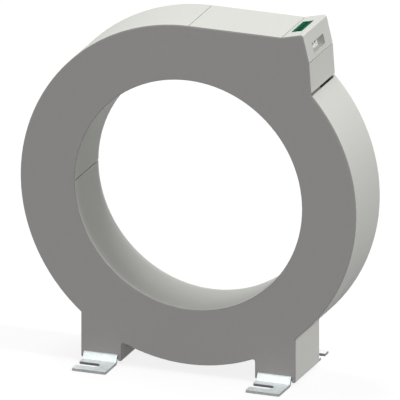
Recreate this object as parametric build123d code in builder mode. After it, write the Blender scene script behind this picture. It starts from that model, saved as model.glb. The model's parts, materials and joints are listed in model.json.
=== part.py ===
from build123d import *
from math import acos, atan2, cos, degrees, radians, sin, sqrt
import os

os.makedirs("parts", exist_ok=True)

# Summation current transformer with a round window, four snap-in mounting brackets and a screwless
# terminal in its head. All sizes are in millimetres. X runs to the terminal side, Y from the front
# to the back along the window's axis, and Z up from the plane that the brackets stand on.

# Ring
window_radius = 60.0
ring_band = 28.5
depth = 34.0
wall = 2.5
edge_break = 0.4
witness_width = 0.6
witness_depth = 1.0

# Head that holds the terminal
flat_end = 48.9
facet_length = 11.6
facet_tilt = 13.7
side_length = 14.8
head_end_angle = 42.9
head_corner_break = 0.8
head_skin = 2.0
head_joint_gap = 0.6
head_end_gap = 0.5
hinge_groove_width = 0.5
hinge_groove_depth = 0.8

# Feet
foot_centre = 45.85
foot_width = 21.3
foot_drop = 2.9
foot_wall = 1.6
foot_root_radius = 1.1
foot_toe_radius = 0.6
foot_notch_wall = 2.5

# Front cover
cover_thickness = 2.4
cover_flange = 0.8
cover_fit = 0.15
hook_count = 10
hook_first_angle = 120.0
hook_range = 270.0
hook_width = 8.0
hook_thickness = 1.4
hook_length = 8.5
hook_barb = 0.9
hook_barb_length = 2.6

# Mounting brackets, bent from sheet
bracket_thickness = 1.4
bracket_width = 17.7
bracket_reach = 17.7
bracket_tab = 11.5
bracket_step = 3.4
bracket_bend_start = 0.9
bracket_slope = 65.0
bracket_bend_radius = 0.3
bracket_corner_radius = 0.5
bracket_fit = 0.1
bracket_side_fit = 0.15
screw_slot_width = 5.5
screw_slot_from_face = 9.6
catch_width = 6.0
catch_length = 3.0
catch_height = 1.0

# Coil, from the window outwards
shield_thickness = 1.2
shield_fit = 0.25
shield_end_gap = 0.3
coil_gap = 0.8
tape_thickness = 0.3
winding_thickness = 1.0
winding_corner = 0.9
layer_fit = 0.1
case_wall = 1.2
core_width = 10.5
core_length = 15.0
core_side_fit = 0.4
cushion_thickness = 0.5
rib_count = 12
rib_thickness = 1.6
rib_fit = 0.3
pad_margin = 1.2
pad_fit = 0.1

# Terminal, which keeps its place from the corner where the head's facet meets its slanted side
pole_count = 4
pole_pitch = 3.81
block_end_wall = 1.0
top_window_from_corner = 3.4
top_window_width = 6.0
top_window_fit = 0.08
entry_window_top = 7.0
entry_window_height = 5.3
entry_window_length = 15.6
entry_depth = 4.1
entry_collar = 1.0
entry_collar_gap = 0.1
guide_thickness = 0.8
guide_hole_radius = 1.35
guide_hole_funnel = 0.25
block_width = 6.5
block_recess = 0.15
block_shoulder_front = 3.2
block_shoulder_back = 3.2
block_bottom = 14.2
contact_width = 3.3
contact_height = 4.7
contact_depth = 5.2
contact_sheet = 0.45
contact_fit = 0.05
pin_side = 0.9
pin_length = 1.8
spring_thickness = 0.3
spring_width = 1.7
button_across = 2.2
button_along = 2.4
button_recess = 0.5
button_fit = 0.06
button_slot_width = 0.7
button_slot_length = 1.5
button_slot_depth = 0.4
lip_length = 3.0
lip_thickness = 1.2
lip_gap = 0.8
lip_root = 0.5

# Circuit board and its parts
board_thickness = 1.6
board_reach = 8.2
board_side_fit = 0.4
board_end_gap = 0.3
rail_width = 1.6
rail_height = 1.4
rail_inset = 0.1
rail_length = 23.0
resistor_radius = 1.25
resistor_length = 6.3
resistor_from_block = 3.1
diode_radius = 1.2
diode_length = 4.2
diode_from_block = 5.8
component_edge = 0.3
component_lead_radius = 0.3
component_lead_reach = 1.8
component_stand = 0.2
winding_lead_radius = 0.45
winding_lead_angle = 50.0
winding_lead_spread = 12.0
winding_lead_from_block = 2.2
hole_fit = 0.1

# Sizes that follow from the ones above
ring_radius = window_radius + ring_band
foot_bottom = -(ring_radius + foot_drop)
axis_height = -foot_bottom + bracket_thickness
front = -depth / 2
back = depth / 2
sleeve_radius = window_radius + wall
chamber_radius = ring_radius - wall
chamber_front = front + cover_thickness
chamber_back = back - wall
foot_inner = foot_centre - foot_width / 2
foot_outer = foot_centre + foot_width / 2

# Bracket levels, from the ring's centre
tab_top = foot_bottom + bracket_step
pocket_top = tab_top + bracket_fit
pocket_floor = tab_top - bracket_thickness - bracket_fit
pocket_depth = bracket_tab + bracket_fit
pocket_width = bracket_width + 2 * bracket_side_fit
foot_roof = pocket_top + foot_wall

# Coil radii, from the window outwards, and half lengths along the axis
shield_inner = sleeve_radius + shield_fit
shield_outer = shield_inner + shield_thickness
tape_inner = shield_outer + coil_gap
winding_inner = tape_inner + tape_thickness + layer_fit
case_inner = winding_inner + winding_thickness + layer_fit
core_inner = case_inner + case_wall + core_side_fit
core_outer = core_inner + core_width
case_outer = core_outer + core_side_fit + case_wall
winding_outer = case_outer + layer_fit + winding_thickness
tape_outer = winding_outer + layer_fit + tape_thickness
core_half = core_length / 2
case_half = core_half + cushion_thickness + case_wall
winding_half = case_half + layer_fit + winding_thickness
tape_half = winding_half + layer_fit + tape_thickness
rib_radius = tape_outer + rib_fit

# Terminal: "along" runs up the head's facet from its start and "down" runs into the head
block_length = pole_count * pole_pitch + 2 * block_end_wall
top_window_length = block_length + 2 * top_window_fit
top_window_end = facet_length - top_window_from_corner
top_window_start = top_window_end - top_window_width
entry_floor = facet_length - entry_depth
entry_face = entry_floor - guide_thickness
block_start = entry_face - block_width
collar_start = entry_floor + entry_collar_gap
block_shoulder = facet_length - block_shoulder_front
shoulder_down = entry_window_top - entry_collar - layer_fit
contact_down = entry_window_top + entry_window_height / 2
button_centre = top_window_start + top_window_width / 2
board_top = block_bottom
board_bottom = board_top + board_thickness
board_start = block_start - board_reach
board_end = facet_length - head_skin - board_side_fit
pole_offsets = [pole_pitch * (i - (pole_count - 1) / 2) for i in range(pole_count)]
lead_along = block_start - winding_lead_from_block

ring_axis = Axis((0, 0, axis_height), (0, 1, 0))
section = Plane((0, 0, axis_height), x_dir=(1, 0, 0), z_dir=(0, 0, 1))


def across(y):
    """The plane across the window's axis at depth y, centred on the axis and facing the front."""
    return Plane((0, y, axis_height), x_dir=(1, 0, 0), z_dir=(0, -1, 0))


def head_plane(y):
    """The same, but with its origin at the start of the head's facet and its first axis up the facet."""
    tilt = radians(facet_tilt)
    start = (flat_end, y, axis_height + ring_radius)
    return Plane(start, x_dir=(cos(tilt), 0, sin(tilt)), z_dir=(0, -1, 0))


def in_head(along, down):
    """A point of the head, given along its facet and down from it, as X and Z from the ring's centre."""
    tilt = radians(facet_tilt)
    x = flat_end + along * cos(tilt) + down * sin(tilt)
    return (x, ring_radius + along * sin(tilt) - down * cos(tilt))


def cross_plane(along):
    """The plane across the facet at this distance up it: its first axis is Y and its second is up."""
    tilt = radians(facet_tilt)
    x, z = in_head(along, 0)
    return Plane((x, 0, axis_height + z), x_dir=(0, 1, 0), z_dir=(cos(tilt), 0, sin(tilt)))


def on_ring(radius, angle):
    """The point at this radius and angle in degrees."""
    return (radius * cos(radians(angle)), radius * sin(radians(angle)))


def angle_of(point):
    """The angle of a point seen from the ring's centre, in degrees."""
    return degrees(atan2(point[1], point[0]))


def below(x, radius):
    """The point at this X on the lower half of a circle round the ring's centre."""
    return (x, -sqrt(radius**2 - x**2))


def meet(point, direction, other_point, other_direction):
    """The crossing of two lines, each given by a point and a direction."""
    (px, pz), (dx, dz) = point, direction
    (qx, qz), (ex, ez) = other_point, other_direction
    share = ((qx - px) * ez - (qz - pz) * ex) / (dx * ez - dz * ex)
    return (px + share * dx, pz + share * dz)


def reach_circle(point, direction, radius):
    """Where the line from this point, along a unit direction, leaves the circle of this radius."""
    (px, pz), (dx, dz) = point, direction
    middle = px * dx + pz * dz
    share = -middle + sqrt(middle**2 - px**2 - pz**2 + radius**2)
    return (px + share * dx, pz + share * dz)


def head_corners(inset, end_radius, start_x=flat_end):
    """The head's corners, moved in by inset, from start_x on the facet to the circle of end_radius."""
    tilt = radians(facet_tilt)
    up_facet, up_side = (cos(tilt), sin(tilt)), (-sin(tilt), cos(tilt))
    lower_corner, end_corner = in_head(facet_length, side_length), on_ring(ring_radius, head_end_angle)
    rise = (lower_corner[0] - end_corner[0], lower_corner[1] - end_corner[1])
    size = sqrt(rise[0] ** 2 + rise[1] ** 2)
    up_lower = (rise[0] / size, rise[1] / size)
    on_facet, on_side = in_head(0, inset), in_head(facet_length - inset, 0)
    on_lower = (end_corner[0] - inset * up_lower[1], end_corner[1] + inset * up_lower[0])
    return [
        meet(on_facet, up_facet, (start_x, 0), (0, 1)),
        in_head(facet_length - inset - head_corner_break, inset),
        in_head(facet_length - inset, inset + head_corner_break),
        meet(on_side, up_side, on_lower, up_lower),
        reach_circle(on_lower, up_lower, end_radius),
    ]


def draw_outline(corners):
    """Draws the housing's outline, with a head that has these corners."""
    head_angle = angle_of(corners[-1])
    outer_angle = degrees(acos(foot_outer / ring_radius))
    inner_angle = degrees(acos(foot_inner / ring_radius))
    with BuildLine() as rim:
        Polyline((0, ring_radius), *corners)
        CenterArc((0, 0), ring_radius, head_angle, -head_angle - outer_angle)
        Polyline(
            below(foot_outer, ring_radius),
            (foot_outer, foot_bottom),
            (foot_inner, foot_bottom),
            below(foot_inner, ring_radius),
        )
        CenterArc((0, 0), ring_radius, -inner_angle, 2 * inner_angle - 180)
        Polyline(
            below(-foot_inner, ring_radius),
            (-foot_inner, foot_bottom),
            (-foot_outer, foot_bottom),
            below(-foot_outer, ring_radius),
        )
        CenterArc((0, 0), ring_radius, 180 + outer_angle, -90 - outer_angle)
    make_face(rim.edges())
    for x in (foot_inner, -foot_inner):
        fillet(vertices().sort_by_distance(below(x, ring_radius))[0], foot_root_radius)
    for x in (foot_inner, foot_outer, -foot_inner, -foot_outer):
        fillet(vertices().sort_by_distance((x, foot_bottom))[0], foot_toe_radius)


def draw_chamber(clear, corners):
    """Draws the hollow for the coil and the terminal, with this clearance from the housing's walls."""
    radius, end_angle = chamber_radius - clear, angle_of(corners[-1])
    with BuildLine() as rim:
        Polyline((0, radius), *corners, on_ring(radius, end_angle))
        CenterArc((0, 0), radius, end_angle, -270 - end_angle)
    make_face(rim.edges())
    Circle(sleeve_radius + clear, mode=Mode.SUBTRACT)


def draw_foot_hollow(clear):
    """Draws the hollow over the brackets in both feet."""
    inner, outer = foot_inner + foot_wall + clear, foot_outer - foot_wall - clear
    radius = ring_radius + clear
    inner_angle, outer_angle = degrees(acos(inner / radius)), degrees(acos(outer / radius))
    with BuildLine() as rim:
        Polyline(
            below(outer, radius),
            (outer, foot_roof + clear),
            (inner, foot_roof + clear),
            below(inner, radius),
        )
        CenterArc((0, 0), radius, -inner_angle, inner_angle - outer_angle)
    hollow = make_face(rim.edges())
    mirror(hollow, about=Plane.YZ)


def draw_band(inner, outer, start, end, mode=Mode.ADD):
    """Draws a ring's section, from one radius and one depth to the others."""
    with Locations(((inner + outer) / 2, (start + end) / 2)):
        Rectangle(outer - inner, end - start, mode=mode)


def draw_box(low_x, high_x, low_y, high_y):
    """Draws a rectangle from its lower to its higher corner."""
    with Locations(((low_x + high_x) / 2, (low_y + high_y) / 2)):
        Rectangle(high_x - low_x, high_y - low_y)


def save(piece, name):
    """Names a finished piece and writes its file."""
    piece.part.label = name
    export_step(piece.part, f"parts/{name}.step")


# Profiles that several pieces share
with BuildSketch() as full_outline:
    draw_outline(head_corners(0, ring_radius))

with BuildSketch() as tub_outline:
    draw_outline([(flat_end, ring_radius), *head_corners(head_skin, ring_radius)])

with BuildSketch() as chamber_with_open_head:
    beyond = head_corners(-wall, ring_radius + wall)
    open_end = on_ring(ring_radius + wall, head_end_angle)
    draw_chamber(0, [(flat_end, chamber_radius), *beyond[:-1], open_end])

with BuildSketch() as bracket_notches:
    for side in (-1, 1):
        draw_box(
            side * foot_centre - pocket_width / 2,
            side * foot_centre + pocket_width / 2,
            foot_bottom - wall,
            pocket_top,
        )

# Housing tub: back wall, outer wall, window sleeve, feet and ribs in one moulding
with BuildPart() as housing_tub:
    with BuildSketch(across(back)):
        add(tub_outline.sketch)
    extrude(amount=depth - cover_flange)
    rear_edges = housing_tub.faces().sort_by(Axis.Y)[-1].outer_wire().edges()
    chamfer(rear_edges, edge_break)
    with BuildSketch(across(chamber_back)):
        add(chamber_with_open_head.sketch)
        draw_foot_hollow(0)
    extrude(amount=depth, mode=Mode.SUBTRACT)
    with BuildSketch(across(back)):
        Circle(window_radius)
    extrude(amount=depth, mode=Mode.SUBTRACT)
    window_edge = housing_tub.faces().sort_by(Axis.Y)[-1].inner_wires()[0].edges()
    chamfer(window_edge, edge_break)

    # Slot between the terminal cover's end and the outer wall
    with BuildSketch(across(chamber_back)):
        with Locations(on_ring(ring_radius, head_end_angle)):
            Rectangle(3 * wall, 2 * head_end_gap, rotation=head_end_angle)
    extrude(amount=depth, mode=Mode.SUBTRACT)

    # Ribs that centre the coil
    with BuildSketch(across(back - edge_break)):
        with PolarLocations((rib_radius + chamber_radius) / 2, rib_count, 180 / rib_count):
            Rectangle(chamber_radius - rib_radius + wall / 2, rib_thickness)
        Circle(rib_radius, mode=Mode.SUBTRACT)
    extrude(amount=back - edge_break + tape_half)

    # Rails under the circuit board
    with BuildSketch(head_plane(chamber_back)):
        for start in (board_start + rail_inset, board_end - rail_inset - rail_width):
            draw_box(start, start + rail_width, -board_bottom - rail_height, -board_bottom)
    extrude(amount=rail_length)

    # Bracket pockets in both faces of the feet, with a catch on each pocket's floor
    for face_y, inward in ((front, 1), (back, -1)):
        notch_end = face_y + inward * foot_notch_wall
        with BuildSketch(across(max(face_y, notch_end))):
            add(bracket_notches.sketch)
        extrude(amount=foot_notch_wall, mode=Mode.SUBTRACT)
        pocket_end = face_y + inward * pocket_depth
        with BuildSketch(across(max(face_y, pocket_end))):
            for side in (-1, 1):
                draw_box(
                    side * foot_centre - pocket_width / 2,
                    side * foot_centre + pocket_width / 2,
                    pocket_floor,
                    pocket_top,
                )
        extrude(amount=pocket_depth, mode=Mode.SUBTRACT)
        catch_y = face_y + inward * (foot_notch_wall + catch_length)
        for side in (-1, 1):
            catch_plane = Plane(
                (side * foot_centre, catch_y, axis_height + pocket_floor),
                x_dir=(0, inward, 0),
                z_dir=(inward, 0, 0),
            )
            with BuildSketch(catch_plane):
                with BuildLine():
                    Polyline(
                        (-catch_length / 2, 0),
                        (catch_length / 2 - bracket_fit, catch_height),
                        (catch_length / 2 - bracket_fit, 0),
                        close=True,
                    )
                make_face()
            extrude(amount=catch_width / 2 - bracket_fit, both=True)

    # Recesses in the outer wall for the cover's hooks
    hook_tip = chamber_front + hook_length
    with BuildSketch(across(hook_tip + cover_fit)):
        with PolarLocations(chamber_radius, hook_count, hook_first_angle, hook_range, endpoint=True):
            Rectangle(2 * (hook_barb + cover_fit), hook_width + 4 * cover_fit)
        Circle(chamber_radius - cover_fit, mode=Mode.SUBTRACT)
    extrude(amount=hook_barb_length + 2 * cover_fit, mode=Mode.SUBTRACT)

    # Witness lines where the flat leaves the ring and along the window's left side
    with BuildSketch(across(back)):
        with Locations((0, ring_radius)):
            Rectangle(witness_width, 2 * witness_depth)
        with Locations((-window_radius, 0)):
            Rectangle(2 * witness_depth, witness_width)
    extrude(amount=depth, mode=Mode.SUBTRACT)
save(housing_tub, "housing_tub")

# Front cover: a plate over the whole face that is let into the tub, with snap hooks behind it
with BuildPart() as front_cover:
    with BuildSketch(across(front + cover_flange)):
        add(full_outline.sketch)
        Circle(window_radius, mode=Mode.SUBTRACT)
    extrude(amount=cover_flange)
    chamfer(front_cover.faces().sort_by(Axis.Y)[0].edges(), edge_break)
    with BuildSketch(across(front + cover_flange)):
        add(bracket_notches.sketch)
    extrude(amount=cover_flange, mode=Mode.SUBTRACT)
    with BuildSketch(across(chamber_front)):
        inside_top = (flat_end, chamber_radius - cover_fit)
        draw_chamber(cover_fit, [inside_top, *head_corners(head_skin + cover_fit, ring_radius)])
        draw_foot_hollow(cover_fit)
    extrude(amount=cover_thickness - cover_flange)

    # Snap hooks: a leg behind the plate and a barb at its tip
    hook_outside = chamber_radius - 2 * cover_fit
    with BuildSketch(across(hook_tip)):
        leg_centre = hook_outside - hook_thickness / 2
        with PolarLocations(leg_centre, hook_count, hook_first_angle, hook_range, endpoint=True):
            Rectangle(hook_thickness, hook_width)
    extrude(amount=hook_length)
    with BuildSketch(across(hook_tip)):
        barb_centre = hook_outside + hook_barb / 2 - hook_thickness / 4
        with PolarLocations(barb_centre, hook_count, hook_first_angle, hook_range, endpoint=True):
            Rectangle(hook_barb + hook_thickness / 2, hook_width)
    extrude(amount=hook_barb_length)
save(front_cover, "front_cover")

# Terminal cover: the strip over the head, with a window over the terminal and one for the wires
with BuildPart() as terminal_cover:
    strip_start, strip_end = flat_end + head_joint_gap, ring_radius + head_joint_gap
    outer_corners = head_corners(0, strip_end, strip_start)
    inner_corners = head_corners(head_skin, strip_end, strip_start)
    with BuildSketch(across(back)):
        with BuildLine():
            Polyline(*outer_corners, *reversed(inner_corners), close=True)
        make_face()
    extrude(amount=depth - cover_flange)
    rear_rim = terminal_cover.faces().sort_by(Axis.Y)[-1].edges()
    rear_edges = []
    for start, end in zip(outer_corners, outer_corners[1:]):
        middle = ((start[0] + end[0]) / 2, back, axis_height + (start[1] + end[1]) / 2)
        rear_edges.append(rear_rim.sort_by_distance(middle)[0])
    chamfer(rear_edges, edge_break)

    # Film hinge: a groove over the bend between the slanted side and the lower side
    with BuildSketch(across(back)):
        with Locations(outer_corners[3]):
            Rectangle(2 * hinge_groove_depth, hinge_groove_width, rotation=facet_tilt)
    extrude(amount=depth, mode=Mode.SUBTRACT)

    # Tongues that reach under the tub's wall
    lip_top = chamber_radius - cover_fit
    lip_half = (chamber_back - lip_gap - block_length / 2 - lip_gap) / 2
    skin_foot = inner_corners[0]
    skin_rise = lip_length * sin(radians(facet_tilt))
    for y in (chamber_back - lip_gap, -block_length / 2 - lip_gap):
        with BuildSketch(across(y)):
            with BuildLine():
                Polyline(
                    (flat_end - lip_length, lip_top),
                    (skin_foot[0], lip_top),
                    (skin_foot[0], skin_foot[1] + lip_root),
                    (skin_foot[0] + lip_length, skin_foot[1] + skin_rise + lip_root),
                    (skin_foot[0] + lip_length, lip_top - lip_thickness),
                    (flat_end - lip_length, lip_top - lip_thickness),
                    close=True,
                )
            make_face()
        extrude(amount=2 * lip_half)

    # Collar round the wire entry, then both windows
    with BuildSketch(head_plane(entry_window_length / 2 + entry_collar)):
        draw_box(
            collar_start,
            facet_length - head_skin / 2,
            -entry_window_top - entry_window_height - entry_collar,
            -entry_window_top + entry_collar,
        )
    extrude(amount=entry_window_length + 2 * entry_collar)
    with BuildSketch(head_plane(entry_window_length / 2)):
        draw_box(
            collar_start - wall,
            facet_length + wall,
            -entry_window_top - entry_window_height,
            -entry_window_top,
        )
    extrude(amount=entry_window_length, mode=Mode.SUBTRACT)
    with BuildSketch(head_plane(top_window_length / 2)):
        draw_box(top_window_start, top_window_start + top_window_width, -head_skin - wall, wall)
    extrude(amount=top_window_length, mode=Mode.SUBTRACT)
save(terminal_cover, "terminal_cover")

# Terminal block with a wire hole, a button well and a pin hole at each pole
with BuildPart() as terminal_block:
    under_skin = -head_skin - layer_fit
    neck_start = top_window_start + top_window_fit
    neck_end = top_window_start + top_window_width - top_window_fit
    with BuildSketch(head_plane(block_length / 2)):
        with BuildLine():
            Polyline(
                (block_start, -block_shoulder_back),
                (neck_start, -block_shoulder_back),
                (neck_start, -block_recess),
                (neck_end, -block_recess),
                (neck_end, under_skin),
                (block_shoulder, under_skin),
                (block_shoulder, -shoulder_down),
                (entry_face, -shoulder_down),
                (entry_face, -block_bottom),
                (block_start, -block_bottom),
                close=True,
            )
        make_face()
    extrude(amount=block_length)
    contact_back = entry_face - contact_depth
    pin_centre = entry_face - contact_depth / 2
    for pole in pole_offsets:
        with BuildSketch(head_plane(pole + contact_width / 2)):
            draw_box(
                contact_back,
                entry_face + wall,
                -contact_down - contact_height / 2,
                -contact_down + contact_height / 2,
            )
        extrude(amount=contact_width, mode=Mode.SUBTRACT)
        with BuildSketch(head_plane(pole + button_along / 2)):
            draw_box(
                button_centre - button_across / 2, button_centre + button_across / 2, -contact_down, wall
            )
        extrude(amount=button_along, mode=Mode.SUBTRACT)
        with BuildSketch(head_plane(pole + pin_side / 2 + hole_fit)):
            draw_box(
                pin_centre - pin_side / 2 - hole_fit,
                pin_centre + pin_side / 2 + hole_fit,
                -block_bottom - wall,
                -contact_down,
            )
        extrude(amount=pin_side + 2 * hole_fit, mode=Mode.SUBTRACT)
save(terminal_block, "terminal_block")

# Wire guide: a plate that the collar holds on the block's face, with a funnel at each pole
with BuildPart() as wire_guide:
    with BuildSketch(head_plane(entry_window_length / 2 + entry_collar)):
        draw_box(
            entry_face + contact_fit,
            entry_floor,
            -entry_window_top - entry_window_height - entry_collar,
            -entry_window_top + entry_collar,
        )
    extrude(amount=entry_window_length + 2 * entry_collar)
    guide_edges = wire_guide.edges()
    with BuildSketch(cross_plane(entry_floor)):
        with Locations((0, -contact_down)):
            with GridLocations(pole_pitch, 1, pole_count, 1):
                Circle(guide_hole_radius)
    extrude(amount=-guide_thickness, mode=Mode.SUBTRACT)
    rims = (wire_guide.edges() - guide_edges).filter_by(GeomType.CIRCLE)
    chamfer(rims.group_by(Axis.X)[-1], guide_hole_funnel)
save(wire_guide, "wire_guide")

# Contacts: a sheet cage, open to the wire and to the button, with a pin for the circuit board
cage_top = -contact_down + contact_height / 2 - contact_fit
cage_bottom = -contact_down - contact_height / 2 + contact_fit
cage_back = contact_back + contact_fit
cage_half = contact_width / 2 - contact_fit
with BuildPart() as terminal_contacts:
    for pole in pole_offsets:
        with BuildSketch(head_plane(pole + cage_half)):
            draw_box(cage_back, entry_face, cage_bottom, cage_top)
        extrude(amount=2 * cage_half)
        with BuildSketch(head_plane(pole + cage_half - contact_sheet)):
            draw_box(
                cage_back + contact_sheet,
                entry_face + contact_sheet,
                cage_bottom + contact_sheet,
                cage_top - contact_sheet,
            )
        extrude(amount=2 * (cage_half - contact_sheet), mode=Mode.SUBTRACT)
        with BuildSketch(head_plane(pole + cage_half - contact_sheet)):
            draw_box(
                button_centre - button_across / 2, button_centre + button_across / 2, -contact_down, 0
            )
        extrude(amount=2 * (cage_half - contact_sheet), mode=Mode.SUBTRACT)
        with BuildSketch(head_plane(pole + pin_side / 2)):
            draw_box(
                pin_centre - pin_side / 2,
                pin_centre + pin_side / 2,
                -board_bottom - pin_length,
                cage_bottom + contact_sheet / 2,
            )
        extrude(amount=pin_side)
save(terminal_contacts, "terminal_contacts")

# Clamp springs: a bent leaf in each cage
with BuildPart() as clamp_springs:
    spring_floor = cage_bottom + contact_sheet + contact_fit
    spring_top = cage_top - 2 * contact_sheet - spring_thickness
    spring_back = cage_back + contact_sheet + spring_thickness + contact_fit
    for pole in pole_offsets:
        with BuildSketch(head_plane(pole + spring_width / 2)):
            with BuildLine():
                FilletPolyline(
                    (entry_face - contact_sheet, spring_floor),
                    (spring_back, spring_floor),
                    (entry_face - contact_sheet, spring_top),
                    radius=spring_thickness,
                )
                offset(amount=spring_thickness, side=Side.RIGHT)
            make_face()
        extrude(amount=spring_width)
save(clamp_springs, "clamp_springs")

# Release buttons, each with a slot for the screwdriver
with BuildPart() as release_buttons:
    for pole in pole_offsets:
        with BuildSketch(head_plane(pole + button_along / 2 - button_fit)):
            draw_box(
                button_centre - button_across / 2 + button_fit,
                button_centre + button_across / 2 - button_fit,
                cage_top + button_fit,
                -button_recess,
            )
        extrude(amount=button_along - 2 * button_fit)
        with BuildSketch(head_plane(pole + button_slot_width / 2)):
            draw_box(
                button_centre - button_slot_length / 2,
                button_centre + button_slot_length / 2,
                -button_recess - button_slot_depth,
                0,
            )
        extrude(amount=button_slot_width, mode=Mode.SUBTRACT)
save(release_buttons, "release_buttons")


def drill_board(along, pitch, radius):
    """Cuts two lead holes in the board, at this place along the facet and this distance apart."""
    top = Plane(cross_plane(along).origin, x_dir=(0, 1, 0), z_dir=cross_plane(along).y_dir)
    with BuildSketch(top) as holes:
        with Locations((-pitch / 2, 0), (pitch / 2, 0)):
            Circle(radius)
    extrude(holes.sketch, amount=-board_bottom - wall, mode=Mode.SUBTRACT)


# Circuit board
resistor_along = block_start - resistor_from_block
diode_along = block_start - diode_from_block
resistor_pitch = resistor_length + 2 * component_lead_reach
diode_pitch = diode_length + 2 * component_lead_reach
with BuildPart() as circuit_board:
    with BuildSketch(head_plane(chamber_back - board_end_gap)):
        draw_box(board_start, board_end, -board_bottom, -board_top)
    extrude(amount=chamber_back - chamber_front - 2 * board_end_gap)
    for pole in pole_offsets:
        with BuildSketch(head_plane(pole + pin_side / 2 + hole_fit)):
            draw_box(
                pin_centre - pin_side / 2 - hole_fit,
                pin_centre + pin_side / 2 + hole_fit,
                -board_bottom - wall,
                -board_top + wall,
            )
        extrude(amount=pin_side + 2 * hole_fit, mode=Mode.SUBTRACT)
    drill_board(resistor_along, resistor_pitch, component_lead_radius + hole_fit)
    drill_board(diode_along, diode_pitch, component_lead_radius + hole_fit)
    drill_board(lead_along, winding_lead_spread, winding_lead_radius + hole_fit)
save(circuit_board, "circuit_board")


def save_component(name, radius, length, along):
    """A round component that lies on the board with its two bent leads through it."""
    down = board_top - component_stand - radius
    span = length / 2 + component_lead_reach
    with BuildPart() as component:
        with BuildSketch(head_plane(length / 2)):
            with Locations((along, -down)):
                Circle(radius)
        extrude(amount=length)
        chamfer(component.edges().filter_by(GeomType.CIRCLE), component_edge)
        with BuildLine(cross_plane(along)) as leads:
            FilletPolyline(
                (-span, -board_bottom - pin_length),
                (-span, -down),
                (span, -down),
                (span, -board_bottom - pin_length),
                radius=component_lead_reach / 2,
            )
        with BuildSketch(Plane(leads.line @ 0, z_dir=leads.line % 0)):
            Circle(component_lead_radius)
        sweep(path=leads.line)
    save(component, name)


save_component("burden_resistor", resistor_radius, resistor_length, resistor_along)
save_component("suppressor_diode", diode_radius, diode_length, diode_along)

# Winding leads, from the coil's wrapping up into the board
for name, y in (
    ("winding_lead_start", -winding_lead_spread / 2),
    ("winding_lead_end", winding_lead_spread / 2),
):
    with BuildPart() as winding_lead:
        lead_run = board_bottom - board_top
        with BuildLine(across(y)) as route:
            FilletPolyline(
                on_ring(tape_outer + layer_fit, winding_lead_angle),
                on_ring(tape_outer + 2 * lead_run, winding_lead_angle),
                in_head(lead_along, board_bottom + lead_run),
                in_head(lead_along, board_top - lead_run / 2),
                radius=2 * winding_lead_radius,
            )
        with BuildSketch(Plane(route.line @ 0, z_dir=route.line % 0)):
            Circle(winding_lead_radius)
        sweep(path=route.line)
    save(winding_lead, name)

# Inner shield ring round the window sleeve
with BuildPart() as shield_ring:
    with BuildSketch(section):
        draw_band(
            shield_inner, shield_outer, chamber_front + shield_end_gap, chamber_back - shield_end_gap
        )
    revolve(axis=ring_axis)
save(shield_ring, "shield_ring")

# Tape-wound core in its case, between two soft rings
with BuildPart() as magnetic_core:
    with BuildSketch(section):
        draw_band(core_inner, core_outer, -core_half, core_half)
        chamfer(vertices(), core_side_fit)
    revolve(axis=ring_axis)
save(magnetic_core, "magnetic_core")

for name, side in (("core_cushion_front", -1), ("core_cushion_rear", 1)):
    with BuildPart() as core_cushion:
        with BuildSketch(section):
            draw_band(core_inner, core_outer, side * core_half, side * (core_half + cushion_thickness))
        revolve(axis=ring_axis)
    save(core_cushion, name)

with BuildPart() as core_case:
    with BuildSketch(section):
        draw_band(case_inner, case_outer, case_wall - case_half, case_half)
        with Locations(((case_inner + case_outer) / 2, -case_wall)):
            Rectangle(case_outer - case_inner - 2 * case_wall, 2 * case_half, mode=Mode.SUBTRACT)
    revolve(axis=ring_axis)
save(core_case, "core_case")

with BuildPart() as core_case_lid:
    with BuildSketch(section):
        draw_band(case_inner, case_outer, -case_half, case_wall - case_half)
    revolve(axis=ring_axis)
save(core_case_lid, "core_case_lid")


# Secondary winding all round the case
with BuildPart() as secondary_winding:
    with BuildSketch(section):
        draw_band(winding_inner, winding_outer, -winding_half, winding_half)
        chamfer(vertices(), winding_corner)
        draw_band(
            case_inner - layer_fit,
            case_outer + layer_fit,
            -case_half - layer_fit,
            case_half + layer_fit,
            mode=Mode.SUBTRACT,
        )
    revolve(axis=ring_axis)
save(secondary_winding, "secondary_winding")

# Tape wrapped over the winding
tape_inside = tape_half - tape_thickness
with BuildSketch() as under_tape:
    draw_band(tape_inner + tape_thickness, tape_outer - tape_thickness, -tape_inside, tape_inside)
    chamfer(vertices(), winding_corner)

with BuildPart() as winding_tape:
    with BuildSketch(section):
        draw_band(tape_inner, tape_outer, -tape_half, tape_half)
        chamfer(vertices(), winding_corner + tape_thickness / 2)
        add(under_tape.sketch, mode=Mode.SUBTRACT)
    revolve(axis=ring_axis)
save(winding_tape, "winding_tape")

# Foam pads between the coil and the housing
for name, start, end in (
    ("coil_pad_front", chamber_front + pad_fit, -tape_half - pad_fit),
    ("coil_pad_rear", tape_half + pad_fit, chamber_back - pad_fit),
):
    with BuildPart() as coil_pad:
        with BuildSketch(section):
            draw_band(tape_inner + pad_margin, tape_outer - pad_margin, start, end)
        revolve(axis=ring_axis)
    save(coil_pad, name)

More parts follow.
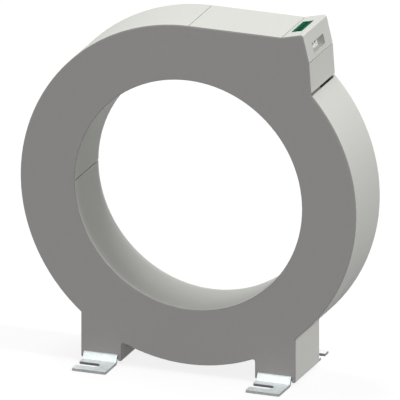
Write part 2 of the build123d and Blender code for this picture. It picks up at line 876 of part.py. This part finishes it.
# Mounting brackets: a tab in the foot, a step down and a plate with an open screw slot
slope_run = bracket_step / sin(radians(bracket_slope)) * cos(radians(bracket_slope))
plate_top = tab_top - bracket_step
slot_radius = screw_slot_width / 2
for name, x, facing in (
    ("bracket_front_left", -foot_centre, 1),
    ("bracket_front_right", foot_centre, 1),
    ("bracket_rear_left", -foot_centre, -1),
    ("bracket_rear_right", foot_centre, -1),
):
    side_view = Plane((x, 0, axis_height), x_dir=(0, -facing, 0), z_dir=(-facing, 0, 0))
    top_view = Plane((x, -facing * back, 0), x_dir=(facing, 0, 0), z_dir=(0, 0, 1))
    with BuildPart() as bracket:
        with BuildSketch(side_view):
            with BuildLine():
                FilletPolyline(
                    (back - bracket_tab, tab_top),
                    (back + bracket_bend_start, tab_top),
                    (back + bracket_bend_start + slope_run, plate_top),
                    (back + bracket_reach, plate_top),
                    radius=[bracket_bend_radius + bracket_thickness, bracket_bend_radius],
                )
                offset(amount=bracket_thickness, side=Side.RIGHT)
            make_face()
        extrude(amount=bracket_width / 2, both=True)
        plate_corners = bracket.edges().filter_by(Axis.Z).group_by(Axis.Y)[0 if facing > 0 else -1]
        fillet(plate_corners, bracket_corner_radius)
        with BuildSketch(top_view):
            with Locations((0, -screw_slot_from_face)):
                Circle(slot_radius)
            with Locations((-bracket_width / 2, -screw_slot_from_face)):
                Rectangle(bracket_width, screw_slot_width)
        extrude(amount=axis_height, mode=Mode.SUBTRACT)
        with BuildSketch(top_view):
            with Locations((0, foot_notch_wall + catch_length)):
                Rectangle(catch_width + 2 * bracket_fit, catch_length + 2 * bracket_fit)
        extrude(amount=axis_height, mode=Mode.SUBTRACT)
    save(bracket, name)
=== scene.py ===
import json
from math import cos, pi, radians, sin

import bpy
from mathutils import Matrix, Vector


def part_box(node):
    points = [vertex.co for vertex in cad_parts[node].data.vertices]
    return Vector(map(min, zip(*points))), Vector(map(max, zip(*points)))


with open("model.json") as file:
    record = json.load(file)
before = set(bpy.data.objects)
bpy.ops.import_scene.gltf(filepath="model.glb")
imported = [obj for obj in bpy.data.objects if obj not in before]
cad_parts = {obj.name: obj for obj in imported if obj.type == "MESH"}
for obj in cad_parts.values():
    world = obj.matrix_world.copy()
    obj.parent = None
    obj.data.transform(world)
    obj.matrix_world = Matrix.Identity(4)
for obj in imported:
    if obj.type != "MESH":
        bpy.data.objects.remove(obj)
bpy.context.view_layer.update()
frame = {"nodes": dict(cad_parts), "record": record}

# View: no perspective, from the object's right and from above, in the frame of a 400 pixel square
IMAGE_SIZE = 400
VIEW_AZIMUTH = radians(20.74)
VIEW_ELEVATION = radians(19.5)
METRES_PER_PIXEL = 0.00049363
RING_CENTRE_PIXEL = (188.05, 195.4)
CAMERA_DISTANCE = 1.2
CAMERA_REACH = 10.0

# Places taken from the frame: the plane of the front face, and the window's axis
FRONT_FACE_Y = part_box("front_cover")[0][1]
WINDOW = next(mount for mount in frame["record"]["mounts"] if mount["name"] == "window")
AXIS_HEIGHT = WINDOW["pos_m"][2]

# Display curve: a straight line up to its knee and a power above it
DISPLAY_WHITE = 255
CURVE_KNEE = 0.04045
CURVE_SLOPE = 12.92
CURVE_OFFSET = 0.055
CURVE_POWER = 2.4


def linear(red, green, blue):
    """A colour from its eight-bit display values."""
    def channel(value):
        share = value / DISPLAY_WHITE
        if share <= CURVE_KNEE:
            return share / CURVE_SLOPE
        return ((share + CURVE_OFFSET) / (1 + CURVE_OFFSET)) ** CURVE_POWER
    return (channel(red), channel(green), channel(blue), 1.0)


# Colours
HOUSING_GREY = linear(222, 223, 217)
# The front cover's grey is painted shade: the housing's light grey darkened to the tone of the
# front face in shade
COVER_PAINTED_SHADE_GREY = linear(133, 131, 130)
TERMINAL_GREEN = linear(13, 92, 60)
# The wire guide's near-white is painted light, standing in for light in the wire-entry pocket
GUIDE_WHITE_PAINTED_LIGHT = linear(243, 243, 240)
ZINC = linear(238, 245, 245)
# Sides of the zinc sheet: the darker tone of a bare cut edge, deepened by painted shade
CUT_EDGE_AND_SHADE = linear(150, 152, 153)
TIN = linear(214, 214, 210)
STEEL = linear(196, 197, 198)
BOARD_GREEN = linear(20, 84, 48)
RESISTOR_BLUE = linear(126, 166, 188)
DIODE_BLACK = linear(36, 36, 38)
LEAD_WHITE = linear(232, 230, 224)
LEAD_RED = linear(168, 36, 30)
SHIELD_GREY = linear(172, 172, 176)
CORE_GREY = linear(128, 130, 136)
FOAM_GREY = linear(62, 62, 64)
CASE_BLACK = linear(44, 44, 46)
COPPER = linear(196, 112, 66)
TAPE_BUFF = linear(156, 152, 136)
WHITE = (1, 1, 1, 1)

# Light, in shares of the level at which a colour renders as it is written. A lamp has a vector,
# which points towards it and is as long as its share, and the width of its disc in degrees.
# The object's gloss mirrors only the lamps whose names end in key. A sun of full strength lights
# a face turned to it at a share of 1.
FULL_SUN = pi
AMBIENT = 0.24
LAMPS = {
    "top_key": ((-0.06, 0.05, 0.305), 20),
    "right_key": ((0.328, 0.0, 0.34), 5),
    "front_fill": ((-0.03, -0.67, 0.03), 3),
    "right_fill": ((0.065, -0.073, 0.015), 20),
    "rear_fill": ((-0.04, 0.54, 0.05), 20),
    "left_fill": ((-0.14, 0.0, 0.03), 20),
}

# Floor: the tone that throws light back at the object, and what the camera sees of the floor,
# which is a glow of its own and a tone that takes the object's shadow
FLOOR_HALF_WIDTH = 3.0
FLOOR_BOUNCE = 0.1
FLOOR_GLOW = 0.84
FLOOR_SHADOW = 0.19

# Patterns: the value below which a pattern is at its darkest, and the one above which it is at
# its lightest
PATTERN_LOW = 0.3
PATTERN_HIGH = 0.7

# Zinc-plated sheet: the same two values for its crystals, which vary more, and the vertical part
# of the normal below which a face takes the darker side tone, partly a bare cut edge and partly
# painted shade
CRYSTAL_LOW = 0.2
CRYSTAL_HIGH = 0.8
SIDE_TONE_LIMIT = 0.2

# Sockets of a Mix node for its two colours and its result, which follow others of the same names
MIX_FIRST_COLOUR = 6
MIX_SECOND_COLOUR = 7
MIX_COLOUR_RESULT = 2


def view_axes(azimuth, elevation):
    """The camera's right, up and back directions, with azimuth 0 in front and growing to +X."""
    right = Vector((cos(azimuth), sin(azimuth), 0))
    back = Vector((sin(azimuth) * cos(elevation), -cos(azimuth) * cos(elevation), sin(elevation)))
    return right, back.cross(right), back


def make_camera():
    """A camera without perspective that puts the ring's centre on its pixel."""
    right, up, back = view_axes(VIEW_AZIMUTH, VIEW_ELEVATION)
    ring_centre = Vector((0, FRONT_FACE_Y, AXIS_HEIGHT))
    across = IMAGE_SIZE / 2 - RING_CENTRE_PIXEL[0]
    down = IMAGE_SIZE / 2 - RING_CENTRE_PIXEL[1]
    middle = ring_centre + METRES_PER_PIXEL * (across * right - down * up)
    data = bpy.data.cameras.new("camera")
    data.type = "ORTHO"
    data.ortho_scale = IMAGE_SIZE * METRES_PER_PIXEL
    data.clip_end = CAMERA_REACH
    camera = bpy.data.objects.new("camera", data)
    turn = Matrix((right, up, back)).transposed().to_4x4()
    camera.matrix_world = Matrix.Translation(middle + CAMERA_DISTANCE * back) @ turn
    bpy.context.scene.collection.objects.link(camera)
    bpy.context.scene.camera = camera


def make_lamps():
    """Suns, each of which lights the faces turned to it by its share."""
    for name, (towards, width) in LAMPS.items():
        data = bpy.data.lights.new(name, "SUN")
        data.energy = FULL_SUN * Vector(towards).length
        data.angle = radians(width)
        sun = bpy.data.objects.new(name, data)
        sun.rotation_euler = Vector(towards).to_track_quat("Z", "Y").to_euler()
        sun.visible_glossy = name.endswith("key")
        bpy.context.scene.collection.objects.link(sun)


def calculate(nodes, links, operation, *sources):
    """The result of a Math node that is fed with plain numbers or other nodes' outputs."""
    node = nodes.new("ShaderNodeMath")
    node.operation = operation
    for socket, source in zip(node.inputs, sources):
        if isinstance(source, float):
            socket.default_value = source
        else:
            links.new(source, socket)
    return node.outputs[0]


def seen_or_not(nodes, links, seen, unseen):
    """One shader for rays from the camera, straight or by way of a gloss or a clear material,
    and another for the light that falls on the object."""
    path = nodes.new("ShaderNodeLightPath").outputs
    direct = calculate(nodes, links, "MAXIMUM", path["Is Camera Ray"], path["Is Glossy Ray"])
    is_seen = calculate(nodes, links, "MAXIMUM", direct, path["Is Transmission Ray"])
    mix = nodes.new("ShaderNodeMixShader")
    for socket, source in zip(mix.inputs, (is_seen, unseen, seen)):
        links.new(source, socket)
    return mix.outputs[0]


def plain_shader(nodes, kind, colour, strength=None):
    """A background, emission or diffuse shader of one colour."""
    shader = nodes.new(kind)
    shader.inputs["Color"].default_value = colour
    if strength is not None:
        shader.inputs["Strength"].default_value = strength
    return shader.outputs[0]


def make_world():
    """An even ambient light, with a white ground behind the object and in its reflections."""
    world = bpy.data.worlds.new("studio")
    bpy.context.scene.world = world
    world.use_nodes = True
    nodes, links = world.node_tree.nodes, world.node_tree.links
    nodes.clear()
    ambient = plain_shader(nodes, "ShaderNodeBackground", WHITE, strength=AMBIENT)
    ground = plain_shader(nodes, "ShaderNodeBackground", WHITE, strength=1.0)
    surface = seen_or_not(nodes, links, seen=ground, unseen=ambient)
    output = nodes.new("ShaderNodeOutputWorld")
    links.new(surface, output.inputs["Surface"])


def floor_material():
    """A plain white that keeps a soft shadow."""
    material = bpy.data.materials.new("floor_white")
    material.use_nodes = True
    nodes, links = material.node_tree.nodes, material.node_tree.links
    nodes.clear()
    bounce_tone = (FLOOR_BOUNCE, FLOOR_BOUNCE, FLOOR_BOUNCE, 1)
    shadow_tone = (FLOOR_SHADOW, FLOOR_SHADOW, FLOOR_SHADOW, 1)
    bounce = plain_shader(nodes, "ShaderNodeBsdfDiffuse", bounce_tone)
    shadow = plain_shader(nodes, "ShaderNodeBsdfDiffuse", shadow_tone)
    glow = plain_shader(nodes, "ShaderNodeEmission", WHITE, strength=FLOOR_GLOW)
    white = nodes.new("ShaderNodeAddShader")
    links.new(shadow, white.inputs[0])
    links.new(glow, white.inputs[1])
    surface = seen_or_not(nodes, links, seen=white.outputs[0], unseen=bounce)
    output = nodes.new("ShaderNodeOutputMaterial")
    links.new(surface, output.inputs["Surface"])
    return material


def make_floor():
    """A flat floor at the height that the object stands on."""
    half = FLOOR_HALF_WIDTH
    corners = [(-half, -half, 0), (half, -half, 0), (half, half, 0), (-half, half, 0)]
    mesh = bpy.data.meshes.new("floor")
    mesh.from_pydata(corners, [], [(0, 1, 2, 3)])
    mesh.materials.append(floor_material())
    floor = bpy.data.objects.new("floor", mesh)
    bpy.context.scene.collection.objects.link(floor)


class Finish:
    """One material and its nodes, with the patterns that the finishes below share."""

    def __init__(self, name):
        self.material = bpy.data.materials.new(name)
        self.material.use_nodes = True
        self.nodes, self.links = self.material.node_tree.nodes, self.material.node_tree.links
        self.shader = self.nodes["Principled BSDF"]
        self.coordinates = self.nodes.new("ShaderNodeTexCoord").outputs["Object"]

    def scaled_coordinates(self, factors):
        """The object's coordinates, times a factor for each axis."""
        mapping = self.nodes.new("ShaderNodeMapping")
        mapping.inputs["Scale"].default_value = factors
        self.links.new(self.coordinates, mapping.inputs["Vector"])
        return mapping.outputs["Vector"]

    def noise(self, per_metre, detail, factors=None):
        """A cloudy pattern with this many lumps in a metre, or that many times an axis's factor
        along that axis, which makes lines of them."""
        texture = self.nodes.new("ShaderNodeTexNoise")
        texture.inputs["Scale"].default_value = per_metre
        texture.inputs["Detail"].default_value = detail
        source = self.scaled_coordinates(factors) if factors else self.coordinates
        self.links.new(source, texture.inputs["Vector"])
        return texture.outputs["Fac"]

    def crystals(self, per_metre):
        """A pattern of cells, each with one tone."""
        texture = self.nodes.new("ShaderNodeTexVoronoi")
        texture.inputs["Scale"].default_value = per_metre
        self.links.new(self.coordinates, texture.inputs["Vector"])
        tone = self.nodes.new("ShaderNodeSeparateColor")
        self.links.new(texture.outputs["Color"], tone.inputs["Color"])
        return tone.outputs["Red"]

    def ring_coordinates(self):
        """The object's coordinates, turned so that the window's axis is Z and passes through 0."""
        mapping = self.nodes.new("ShaderNodeMapping")
        mapping.inputs["Location"].default_value = (0, -AXIS_HEIGHT, 0)
        mapping.inputs["Rotation"].default_value = (radians(-90), 0, 0)
        self.links.new(self.coordinates, mapping.inputs["Vector"])
        return mapping.outputs["Vector"]

    def layers(self, scale):
        """Layers of tape wound about the window's axis, as rings on the flat sides, which repeat
        every pi / 10 metres divided by the scale."""
        texture = self.nodes.new("ShaderNodeTexWave")
        texture.wave_type = "RINGS"
        texture.rings_direction = "Z"
        texture.inputs["Scale"].default_value = scale
        texture.inputs["Distortion"].default_value = 0.6
        self.links.new(self.ring_coordinates(), texture.inputs["Vector"])
        return texture.outputs["Fac"]

    def turns(self, count):
        """This many turns wound through the window, as bands across the ring, each of which
        rises over one half and falls over the other."""
        angle = self.nodes.new("ShaderNodeTexGradient")
        angle.gradient_type = "RADIAL"
        self.links.new(self.ring_coordinates(), angle.inputs["Vector"])
        halves = self.calculate("MULTIPLY", angle.outputs["Fac"], 2.0 * count)
        return self.calculate("PINGPONG", halves, 1.0)

    def calculate(self, operation, *sources):
        """The result of a Math node in this material."""
        return calculate(self.nodes, self.links, operation, *sources)

    def mean(self, first, second):
        """The mean of two patterns."""
        return self.calculate("MULTIPLY_ADD", first, 0.5, self.calculate("MULTIPLY", second, 0.5))

    def ramp(self, colour, pattern, spread, low=PATTERN_LOW, high=PATTERN_HIGH):
        """A colour that varies by this share to each side along the pattern."""
        ramp = self.nodes.new("ShaderNodeValToRGB")
        darkest, lightest = ramp.color_ramp.elements
        for element, position, share in ((darkest, low, 1 - spread), (lightest, high, 1 + spread)):
            tone = [min(1.0, share * part) for part in colour[:3]]
            element.position = position
            element.color = (*tone, 1)
        self.links.new(pattern, ramp.inputs["Fac"])
        return ramp.outputs["Color"]

    def colour(self, colour, pattern, spread):
        """Gives the surface a colour that varies by this share along the pattern."""
        self.links.new(self.ramp(colour, pattern, spread), self.shader.inputs["Base Color"])

    def roughness(self, middle, pattern, spread=0.05):
        """Lets the roughness vary by this much to each side along the pattern."""
        span = self.nodes.new("ShaderNodeMapRange")
        span.inputs["From Min"].default_value = PATTERN_LOW
        span.inputs["From Max"].default_value = PATTERN_HIGH
        span.inputs["To Min"].default_value = middle - spread
        span.inputs["To Max"].default_value = middle + spread
        self.links.new(pattern, span.inputs["Value"])
        self.links.new(span.outputs["Result"], self.shader.inputs["Roughness"])

    def bump(self, pattern, depth, strength):
        """Raises the surface by this depth in metres along the pattern."""
        bump = self.nodes.new("ShaderNodeBump")
        bump.inputs["Strength"].default_value = strength
        bump.inputs["Distance"].default_value = depth
        self.links.new(pattern, bump.inputs["Height"])
        self.links.new(bump.outputs["Normal"], self.shader.inputs["Normal"])


def moulded(name, colour, spread=0.025, roughness=0.55, gloss=0.3):
    """Moulded plastic with a fine spark-eroded grain and faint clouds of tone."""
    finish = Finish(name)
    clouds = finish.noise(per_metre=28, detail=4)
    mottle = finish.noise(per_metre=900, detail=2)
    grain = finish.noise(per_metre=2600, detail=2)
    finish.colour(colour, finish.mean(clouds, mottle), spread)
    finish.roughness(roughness, clouds)
    finish.bump(grain, depth=0.000022, strength=0.5)
    finish.shader.inputs["Specular IOR Level"].default_value = gloss
    return finish.material


def zinc_plate():
    """Zinc-plated sheet with faint crystals, rolling lines and a cool tint, and darker sides,
    which are partly bare sheared edges and partly painted shade.
    """
    finish = Finish("zinc_plate")
    streaks = finish.noise(per_metre=300, detail=3, factors=(1, 14, 14))
    rolling_lines = finish.noise(per_metre=1500, detail=2, factors=(1, 9, 9))
    shear_lines = finish.noise(per_metre=2500, detail=3, factors=(1, 1, 0.2))
    spangle = finish.mean(finish.crystals(per_metre=900), streaks)
    plated = finish.ramp(ZINC, spangle, spread=0.06, low=CRYSTAL_LOW, high=CRYSTAL_HIGH)
    cut_edge_and_shade = finish.ramp(CUT_EDGE_AND_SHADE, shear_lines, spread=0.2)

    # Faces turned sideways take the darker side tone: partly bare cut edge, partly painted shade
    normal = finish.nodes.new("ShaderNodeSeparateXYZ")
    geometry = finish.nodes.new("ShaderNodeNewGeometry")
    finish.links.new(geometry.outputs["True Normal"], normal.inputs["Vector"])
    vertical_part = finish.calculate("ABSOLUTE", normal.outputs["Z"])
    is_top_or_bottom = finish.calculate("GREATER_THAN", vertical_part, SIDE_TONE_LIMIT)
    mix = finish.nodes.new("ShaderNodeMix")
    mix.data_type = "RGBA"
    finish.links.new(is_top_or_bottom, mix.inputs["Factor"])
    finish.links.new(cut_edge_and_shade, mix.inputs[MIX_FIRST_COLOUR])
    finish.links.new(plated, mix.inputs[MIX_SECOND_COLOUR])
    finish.links.new(mix.outputs[MIX_COLOUR_RESULT], finish.shader.inputs["Base Color"])

    finish.roughness(middle=0.42, pattern=spangle, spread=0.07)
    finish.bump(rolling_lines, depth=0.00001, strength=0.5)
    finish.shader.inputs["Metallic"].default_value = 0.12
    return finish.material


def bare_metal(name, colour, roughness):
    """Plain sheet or wire with fine drawing lines."""
    finish = Finish(name)
    lines = finish.noise(per_metre=700, detail=3, factors=(1, 8, 8))
    finish.colour(colour, lines, spread=0.08)
    finish.roughness(roughness, lines, spread=0.06)
    finish.bump(lines, depth=0.00001, strength=0.4)
    finish.shader.inputs["Metallic"].default_value = 1.0
    return finish.material


def banded(finish, bands, colour, metallic, roughness):
    """Gives a finish the tones and the relief of its bands."""
    patches = finish.noise(per_metre=120, detail=3)
    finish.colour(colour, finish.mean(bands, patches), spread=0.16)
    finish.roughness(roughness, bands)
    finish.bump(bands, depth=0.00008, strength=0.6)
    finish.shader.inputs["Metallic"].default_value = metallic
    return finish.material


def core_alloy():
    """Thin alloy tape, wound about the window's axis."""
    finish = Finish("core_alloy")
    return banded(finish, finish.layers(scale=900), CORE_GREY, metallic=1.0, roughness=0.35)


def wound(name, colour, turn_count, metallic, roughness):
    """Wire or tape that is wound through the window."""
    finish = Finish(name)
    return banded(finish, finish.turns(turn_count), colour, metallic, roughness)


def foam():
    """Soft open foam."""
    finish = Finish("foam")
    cells = finish.noise(per_metre=1600, detail=4)
    finish.colour(FOAM_GREY, cells, spread=0.3)
    finish.roughness(middle=0.9, pattern=cells)
    finish.bump(cells, depth=0.0003, strength=0.8)
    return finish.material


def glossy(name, colour, spread, roughness):
    """Lacquer, solder mask or epoxy."""
    finish = Finish(name)
    clouds = finish.noise(per_metre=400, detail=3)
    ripple = finish.noise(per_metre=900, detail=2)
    finish.colour(colour, clouds, spread)
    finish.roughness(roughness, clouds)
    finish.bump(ripple, depth=0.00002, strength=0.4)
    return finish.material


def make_finishes():
    """A material for each slot of the record."""
    return {
        "housing_grey": moulded("housing_grey", HOUSING_GREY),
        # The front cover takes the housing grey with painted shade in its colour
        "cover_grey": moulded("cover_grey", COVER_PAINTED_SHADE_GREY),
        "terminal_green": moulded(
            "terminal_green", TERMINAL_GREEN, spread=0.1, roughness=0.6, gloss=0.02),
        "zinc_plate": zinc_plate(),
        "contact_tin": bare_metal("contact_tin", TIN, roughness=0.32),
        "spring_steel": bare_metal("spring_steel", STEEL, roughness=0.25),
        "board_green": glossy("board_green", BOARD_GREEN, spread=0.1, roughness=0.3),
        "resistor_body": glossy("resistor_body", RESISTOR_BLUE, spread=0.06, roughness=0.35),
        "diode_body": glossy("diode_body", DIODE_BLACK, spread=0.1, roughness=0.4),
        "lead_white": glossy("lead_white", LEAD_WHITE, spread=0.03, roughness=0.45),
        "lead_red": glossy("lead_red", LEAD_RED, spread=0.06, roughness=0.45),
        "shield_alloy": bare_metal("shield_alloy", SHIELD_GREY, roughness=0.4),
        "core_alloy": core_alloy(),
        "foam": foam(),
        "case_black": moulded("case_black", CASE_BLACK, spread=0.1),
        "copper": wound("copper", COPPER, turn_count=600, metallic=0.6, roughness=0.35),
        "tape_yellow": wound("tape_yellow", TAPE_BUFF, turn_count=90, metallic=0.0, roughness=0.4),
    }


def dress_nodes():
    """Gives each node the finish of its slot, and the wire guide a lighter one of its own, with
    painted light in its colour.
    """
    finishes = make_finishes()
    for part in frame["record"]["subparts"]:
        mesh = frame["nodes"][part["node"]].data
        mesh.materials.clear()
        mesh.materials.append(finishes[part["material_slot"]])
    # The wire guide's lighter finish is painted light in the wire-entry pocket
    guide = frame["nodes"]["wire_guide"].data
    guide.materials[0] = moulded("guide_painted_light", GUIDE_WHITE_PAINTED_LIGHT)


make_camera()
make_lamps()
make_world()
make_floor()
dress_nodes()
bpy.context.scene.view_settings.view_transform = "Standard"
